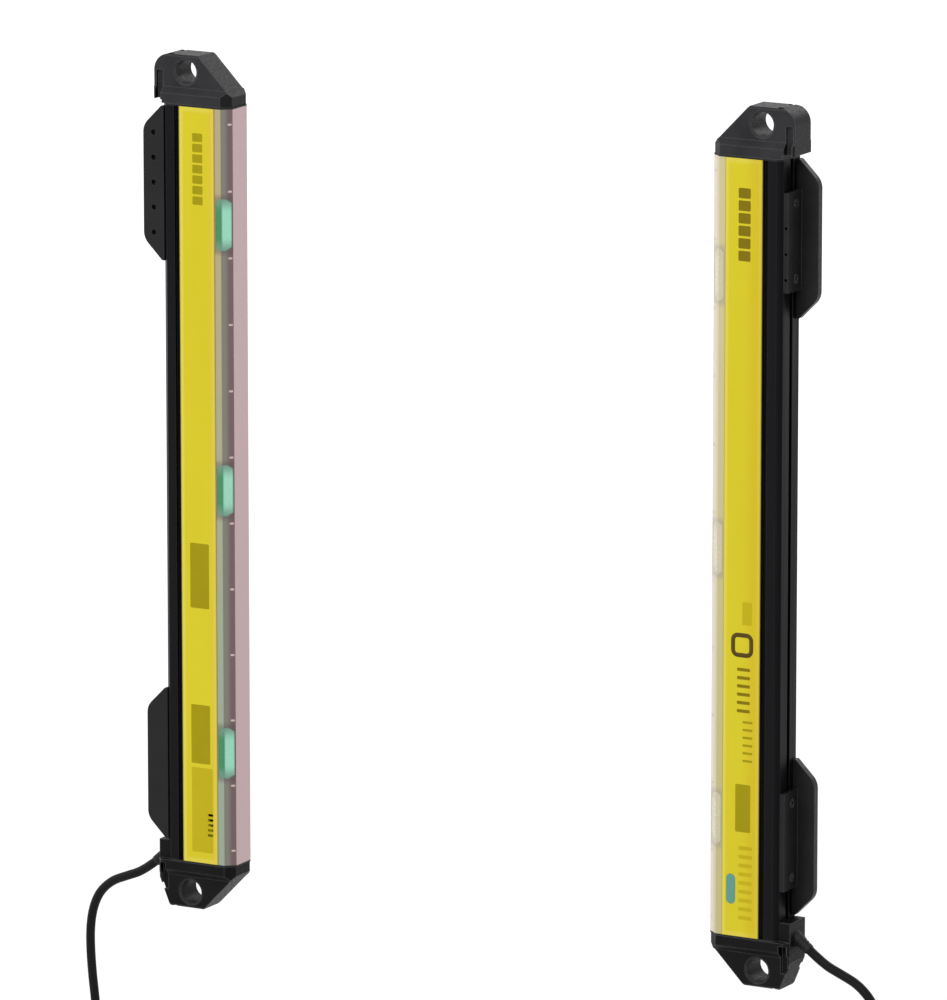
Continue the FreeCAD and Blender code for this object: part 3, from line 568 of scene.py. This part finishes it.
# ---- Repeated details, each from a Geometry Nodes tree ----
class DetailTree:
    """A tree with a count and some lengths as inputs, which ends in a realized mesh with a material."""

    def __init__(self, name, *lengths):
        self.group = bpy.data.node_groups.new(name, "GeometryNodeTree")
        sockets = self.group.interface
        self.keys = {}
        for label in ("Count", *lengths):
            kind = "NodeSocketInt" if label == "Count" else "NodeSocketFloat"
            socket = sockets.new_socket(name=label, in_out="INPUT", socket_type=kind)
            self.keys[label] = socket.identifier
        sockets.new_socket(name="Geometry", in_out="OUTPUT", socket_type="NodeSocketGeometry")
        self.given = self.group.nodes.new("NodeGroupInput").outputs

    def add(self, kind, **inputs):
        node = self.group.nodes.new(kind)
        for key, value in inputs.items():
            feed(self.group, node.inputs[key.replace("_", " ")], value)
        return node

    def vector(self, **parts):
        return self.add("ShaderNodeCombineXYZ", **parts).outputs[0]

    def math(self, operation, a, b):
        node = self.add("ShaderNodeMath")
        node.operation = operation
        feed(self.group, node.inputs[0], a)
        feed(self.group, node.inputs[1], b)
        return node.outputs[0]

    def rounded_outline(self, width, height, steps):
        """A rectangle whose corners are each rounded in a few steps."""
        outline = self.add("GeometryNodeCurvePrimitiveQuadrilateral", Width=width, Height=height)
        fillet = self.add("GeometryNodeFilletCurve", Curve=outline.outputs[0], Radius=self.given["Corner"])
        fillet.mode = "POLY"
        fillet.inputs["Count"].default_value = steps
        return fillet

    def circle(self, radius, facets):
        return self.add("GeometryNodeCurvePrimitiveCircle", Resolution=facets, Radius=radius)

    def prism(self, outline, length):
        """A closed solid over an outline, along Z."""
        path = self.add("GeometryNodeCurvePrimitiveLine", End=self.vector(Z=length))
        return self.add(
            "GeometryNodeCurveToMesh", Curve=path.outputs[0], Profile_Curve=outline.outputs[0],
            Fill_Caps=True,
        )

    def loop(self, path, section):
        return self.add(
            "GeometryNodeCurveToMesh", Curve=path.outputs[0], Profile_Curve=section.outputs[0]
        )

    def upright(self, piece, **inputs):
        """Turns a flat piece so that it faces -Y."""
        return self.add(
            "GeometryNodeTransform", Geometry=piece.outputs[0], Rotation=(math.pi / 2, 0.0, 0.0), **inputs
        )

    def line(self, step):
        """Points one above another."""
        return self.add("GeometryNodeMeshLine", Count=self.given["Count"], Offset=self.vector(Z=step))

    def close(self, points, piece, **inputs):
        """Sets the piece on the points and ends the tree."""
        copies = self.add(
            "GeometryNodeInstanceOnPoints", Points=points.outputs[0], Instance=piece.outputs[0], **inputs
        )
        whole = self.add("GeometryNodeRealizeInstances", Geometry=copies.outputs[0])
        self.dress = self.add("GeometryNodeSetMaterial", Geometry=whole.outputs[0])
        end = self.group.nodes.new("NodeGroupOutput")
        self.group.links.new(self.dress.outputs[0], end.inputs[0])

    def make(self, name, material, slot, at, **values):
        """Runs the tree, turns its result into a plain mesh at its place and lets it ride on the body."""
        self.dress.inputs["Material"].default_value = material
        holder = add_object(f"{name}_tree", bpy.data.meshes.new(f"{name}_tree"))
        modifier = holder.modifiers.new("detail", "NODES")
        modifier.node_group = self.group
        for label, value in values.items():
            modifier[self.keys[label]] = value
        made = holder.evaluated_get(bpy.context.evaluated_depsgraph_get())
        mesh = bpy.data.meshes.new_from_object(made)
        holder.modifiers.remove(modifier)
        bpy.data.objects.remove(holder)
        mesh.name = name
        mesh.transform(at)
        shape = bmesh.new()
        shape.from_mesh(mesh)
        settle(shape, mesh)
        piece = add_object(name, mesh)
        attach(piece, "root")


def bar_row_tree():
    """A row of thin bars with rounded corners, one under another, that face -Y."""
    tree = DetailTree("bar_row", "Pitch", "Width", "Height", "Corner", "Thickness")
    outline = tree.rounded_outline(tree.given["Width"], tree.given["Height"], 4)
    bar = tree.upright(tree.prism(outline, tree.given["Thickness"]))
    tree.close(tree.line(tree.math("MULTIPLY", tree.given["Pitch"], -1.0)), bar)
    return tree


def frame_row_tree():
    """A row of flat square rings with rounded corners that face -Y."""
    tree = DetailTree("frame_row", "Pitch", "Side", "Corner", "Stroke", "Thickness")
    path = tree.rounded_outline(tree.given["Side"], tree.given["Side"], 5)
    section = tree.add(
        "GeometryNodeCurvePrimitiveQuadrilateral", Width=tree.given["Stroke"],
        Height=tree.given["Thickness"],
    )
    out = tree.vector(Y=tree.math("MULTIPLY", tree.given["Thickness"], -0.5))
    ring = tree.upright(tree.loop(path, section), Translation=out)
    tree.close(tree.line(tree.math("MULTIPLY", tree.given["Pitch"], -1.0)), ring)
    return tree


def ring_row_tree():
    """Round beads one above another on a straight axis, each a little smaller than the last."""
    tree = DetailTree("ring_row", "Pitch", "Radius", "Bead", "Taper")
    ring = tree.loop(tree.circle(tree.given["Radius"], 40), tree.circle(tree.given["Bead"], 10))
    index = tree.add("GeometryNodeInputIndex").outputs[0]
    share = tree.math("SUBTRACT", 1.0, tree.math("MULTIPLY", index, tree.given["Taper"]))
    tree.close(tree.line(tree.given["Pitch"]), ring, Scale=tree.vector(X=share, Y=share, Z=1.0))
    return tree


def rib_ring_tree():
    """Straight ribs with rounded backs set round a grip, along its axis."""
    tree = DetailTree("rib_ring", "Radius", "Rib", "Length")
    rib = tree.prism(tree.circle(tree.given["Rib"], 10), tree.given["Length"])
    around = tree.add("GeometryNodeMeshCircle", Vertices=tree.given["Count"], Radius=tree.given["Radius"])
    tree.close(around, rib)
    return tree


def make_print(bars):
    """Bare printed fields and plain bars on the two front panels, where a real pair carries its words."""
    olive = print_and_glow_ink("olive_print", srgb(168, 154, 0), srgb(152, 138, 0))
    pale = print_and_glow_ink("pale_print", srgb(198, 180, 22), srgb(186, 166, 12))
    dark = print_and_glow_ink("dark_print", srgb(142, 124, 0), srgb(118, 100, 0))
    black = print_and_glow_ink("black_print", srgb(92, 74, 18), srgb(70, 54, 8))
    # Name, ink, distance from the back plane, height, count, then a bar's pitch, width, height and corner
    rows = (
        ("emitter_title_bars", olive, 24.5, 211.2, 7, 6.3, 6.9, 5.0, 0.7),
        ("emitter_upper_field", olive, 24.4, -53.2, 1, 1.0, 13.0, 39.5, 0.8),
        ("emitter_lower_field", olive, 24.5, -150.0, 1, 1.0, 13.0, 36.0, 0.8),
        ("emitter_foot_field", pale, 25.4, -196.5, 1, 1.0, 14.6, 52.0, 0.8),
        ("emitter_foot_bars", black, 31.0, -199.0, 5, 3.1, 3.6, 1.5, 0.4),
        ("receiver_title_bars", dark, 23.4, 209.0, 6, 7.3, 7.8, 6.0, 0.8),
        ("receiver_small_bar", pale, 20.3, -36.8, 1, 1.0, 6.2, 13.5, 0.6),
        ("receiver_ruled_bars", dark, 22.4, -70.0, 6, 4.9, 8.4, 1.9, 0.5),
        ("receiver_fine_bars", olive, 19.6, -101.0, 6, 4.6, 6.4, 1.4, 0.4),
        ("receiver_field", olive, 22.4, -152.3, 1, 1.0, 9.8, 28.4, 0.8),
        ("receiver_foot_bars", pale, 20.6, -176.0, 9, 5.2, 8.6, 2.2, 0.5),
    )
    for name, mark_finish, depth, height, count, pitch, width, tall, corner in rows:
        bars.make(
            name, mark_finish, "yellow_paint", at=on_panel(name, depth, height), Count=count, Pitch=pitch * MM,
            Width=width * MM, Height=tall * MM, Corner=corner * MM, Thickness=PRINT_THICKNESS,
        )
    frame_row_tree().make(
        "receiver_ring_mark", black, "yellow_paint", at=on_panel("receiver", 23.4, -55.6), Count=1,
        Pitch=1.0 * MM, Side=11.8 * MM, Corner=3.0 * MM, Stroke=2.6 * MM, Thickness=PRINT_THICKNESS,
    )


def on_panel(name, depth, height):
    """A place on a front panel, from its distance in front of the back plane and its height, in mm."""
    side = -1.0 if name.startswith("emitter") else 1.0
    y = PRINT_THICKNESS - PRINT_PROUD - PANEL_FACE
    return Matrix.Translation((side * (BACK_PLANE - depth * MM), y, height * MM))


def make_beam_glow_marks(bars):
    """A short pale tick at every beam on the slanted corners of both windows: a painted glow where each
    beam leaves the window.
    """
    # Painted glow: pale pink ticks where the beams leave the windows.
    mark_finish = print_and_glow_ink("beam_glow_mark", srgb(216, 196, 192), srgb(196, 172, 170))
    slant = math.atan2(NOSE_RUN, NOSE_INSET)
    x = -HALF_GAP - NOSE_RUN * (1 - MARK_SHARE)
    y = HALF_THICKNESS - NOSE_INSET * MARK_SHARE
    top = (BEAMS - 1) / 2 * BEAM_PITCH
    for unit in UNITS:
        for side, out in (("front", -1.0), ("rear", 1.0)):
            turn = math.pi / 2 + out * slant
            normal = Vector((math.sin(turn), -math.cos(turn), 0.0))
            foot = Vector((x, out * y, top)) - normal * MARK_SUNK
            at = Matrix.Translation(foot) @ Matrix.Rotation(turn, 4, "Z")
            if unit == "receiver":
                at = Matrix.Rotation(math.pi, 4, "Z") @ at
            bars.make(
                f"{unit}_{side}_beam_glow_marks", mark_finish, f"{unit}_window_plastic", at=at, Count=BEAMS,
                Pitch=BEAM_PITCH, Width=2.4 * MM, Height=1.2 * MM, Corner=0.3 * MM,
                Thickness=MARK_THICKNESS,
            )


def make_plug_details(plug, bars):
    """Grip bars on both sides, beads on the tail and a knurled ring on the nose of each cable's plug."""
    beads, ribs = ring_row_tree(), rib_ring_tree()
    grip = Matrix.Translation((0.0, -GRIP_DEPTH, GRIP_START))
    for unit in UNITS:
        plug_axes = plug_frame(unit)
        for side, turn in (("front", 0.0), ("rear", math.pi)):
            bars.make(
                f"{unit}_plug_{side}_grips", plug, "cap_plastic",
                at=plug_axes @ Matrix.Rotation(turn, 4, "Z") @ grip, Count=5, Pitch=2.0 * MM,
                Width=5.0 * MM, Height=0.9 * MM, Corner=0.3 * MM, Thickness=0.9 * MM,
            )
        beads.make(
            f"{unit}_plug_tail_beads", plug, "cap_plastic",
            at=plug_axes @ Matrix.Translation((0.0, 0.0, TAIL_START)), Count=4, Pitch=-2.2 * MM,
            Radius=5.74 * MM, Bead=0.34 * MM, Taper=0.0975,
        )
        ribs.make(
            f"{unit}_plug_knurl", plug, "cap_plastic",
            at=plug_axes @ Matrix.Translation((0.0, 0.0, KNURL_START)), Count=30,
            Radius=4.8 * MM, Rib=0.26 * MM, Length=6.0 * MM,
        )


# ---- Finishes of the solids ----
def finish_nodes(plug, boot):
    black, bracket, yellow = black_extrusion(), bracket_coat(), yellow_coat()
    top_cap = cap_moulding("top_cap_moulding", srgb(55, 54, 57), srgb(29, 29, 31), 0.12)
    # Painted shade: the bottom caps take a darker copy of the same moulding, as they face down, away from
    # the light.
    bottom_cap = cap_moulding("bottom_cap_shaded_moulding", srgb(24, 23, 25), srgb(10, 10, 11), 0.08)
    clear, board, carrier, steel = clear_moulding(), board_laminate(), carrier_moulding(), plated_steel()
    gasket = black_rubber("gasket_rubber", (0.012, 0.012, 0.012), (0.007, 0.007, 0.007), 600.0)
    gilt, teal = gilt_contact(), teal_lens()
    windows = {
        "emitter": window_plastic(
            "emitter_window_tint", srgb(184, 166, 122), srgb(150, 170, 148), srgb(126, 126, 112),
            srgb(106, 82, 85), srgb(204, 172, 174),
        ),
        "receiver": window_plastic(
            "receiver_window_tint", srgb(202, 191, 140), srgb(190, 182, 124), srgb(208, 198, 158),
            srgb(218, 208, 190), srgb(200, 190, 182),
        ),
    }
    lamps = {
        "emitter": lamp_plastic(
            "lamp_lit", srgb(30, 122, 74), srgb(146, 210, 182), srgb(96, 136, 118), glow=0.12
        ),
        "receiver": lamp_plastic(
            "lamp_unlit", srgb(200, 192, 156), srgb(216, 210, 182), srgb(196, 188, 156), glow=0.0
        ),
    }
    for unit in UNITS:
        dressed = (
            (black, "housing"),
            (yellow, "front_panel rear_panel"),
            (windows[unit], "window"),
            (lamps[unit], "lamp_lenses"),
            (clear, "light_pipes indicator_diodes lenses infrared_diodes"),
            (board, "circuit_board"),
            (carrier, "optics_carrier photodiodes"),
            (top_cap, "top_cap"),
            (bottom_cap, "bottom_cap"),
            (gasket, "top_gasket bottom_gasket plug_seal"),
            (steel, "cap_screws bracket_screws slot_nuts"),
            (bracket, "upper_bracket lower_bracket"),
            (boot, "strain_relief cable"),
            (plug, "plug_body"),
            (gilt, "plug_contacts"),
            (teal, "status_lens"),
        )
        for material, pieces in dressed:
            for piece in pieces.split():
                node = NODES.get(f"{unit}_{piece}")
                if node:
                    node.data.materials.clear()
                    node.data.materials.append(material)


# ---- Cables ----
def cable_points(unit):
    turn = Matrix.Rotation(0.0 if unit == "emitter" else math.pi, 3, "Z")
    return [turn @ (CABLE_START + Vector((-back, side, -down))) for back, side, down in CABLE_ROUTE]


def plug_frame(unit):
    """The plug's own axes: Z runs on from the cable's end and -Y faces the front."""
    points = cable_points(unit)
    along = (points[-1] - points[-2]).normalized()
    sideways = Vector((0.0, 1.0, 0.0))
    sideways = (sideways - along * sideways.dot(along)).normalized()
    turn = Matrix((sideways.cross(along), sideways, along)).transposed().to_4x4()
    return Matrix.Translation(points[-1]) @ turn


def make_plug(unit, material):
    """A turned plug body with eased edges, closed at both ends."""
    shape = bmesh.new()
    angles = [2 * math.pi * i / PLUG_FACETS for i in range(PLUG_FACETS)]
    rings = []
    for distance, radius in PLUG_OUTLINE:
        r, z = radius * MM, distance * MM
        rings.append([shape.verts.new((r * math.cos(a), r * math.sin(a), z)) for a in angles])
    for lower, upper in zip(rings, rings[1:]):
        for i in range(PLUG_FACETS):
            j = (i + 1) % PLUG_FACETS
            shape.faces.new((lower[i], lower[j], upper[j], upper[i]))
    shape.faces.new(rings[0][::-1])
    shape.faces.new(rings[-1])
    shape.transform(plug_frame(unit))
    mesh = bpy.data.meshes.new(f"{unit}_plug")
    settle(shape, mesh)
    mesh.shade_smooth()
    mesh.set_sharp_from_angle(angle=PLUG_CREASE)
    mesh.materials.append(material)
    plug = add_object(f"{unit}_plug", mesh)
    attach(plug, "root")
    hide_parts(f"{unit}_plug_body")
    return plug


def make_cable(unit, jacket, plug_plastic):
    points = cable_points(unit)
    data = bpy.data.curves.new(f"{unit}_cable_line", "CURVE")
    data.dimensions = "3D"
    spline = data.splines.new("NURBS")
    spline.points.add(len(points) - 1)
    for knot, point in zip(spline.points, points):
        knot.co = (*point, 1.0)
    spline.order_u = 3
    spline.use_endpoint_u = True
    spline.resolution_u = 12
    data.bevel_depth = CABLE_DIAMETER / 2
    data.bevel_resolution = 6
    data.use_fill_caps = True
    data.materials.append(jacket)
    cable = add_object(f"{unit}_cable_run", data)
    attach(cable, "root")
    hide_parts(f"{unit}_cable")
    on_cable = [make_plug(unit, plug_plastic)]
    on_cable += [NODES[f"{unit}_{piece}"] for piece in ("plug_contacts", "plug_seal")]


bpy.context.scene.view_settings.view_transform = "Standard"
make_camera()
jacket = cable_jacket()
plug_plastic = plug_moulding()
for unit_name in UNITS:
    make_cable(unit_name, jacket, plug_plastic)
make_world()
make_softbox("key_light", (0.2, -3.4, 2.6), (2.2, 2.2), 62.0)
make_softbox("left_light", (-3.2, -1.2, 1.4), (1.6, 2.6), 26.0)
make_softbox("back_light", (0.6, 3.4, 2.4), (2.4, 2.4), 30.0)
make_floor()
boot_rubber = black_rubber("boot_rubber", srgb(30, 30, 31), srgb(20, 20, 21), 700.0)
finish_nodes(plug_plastic, boot_rubber)
bar_rows = bar_row_tree()
make_print(bar_rows)
make_beam_glow_marks(bar_rows)
make_plug_details(plug_plastic, bar_rows)
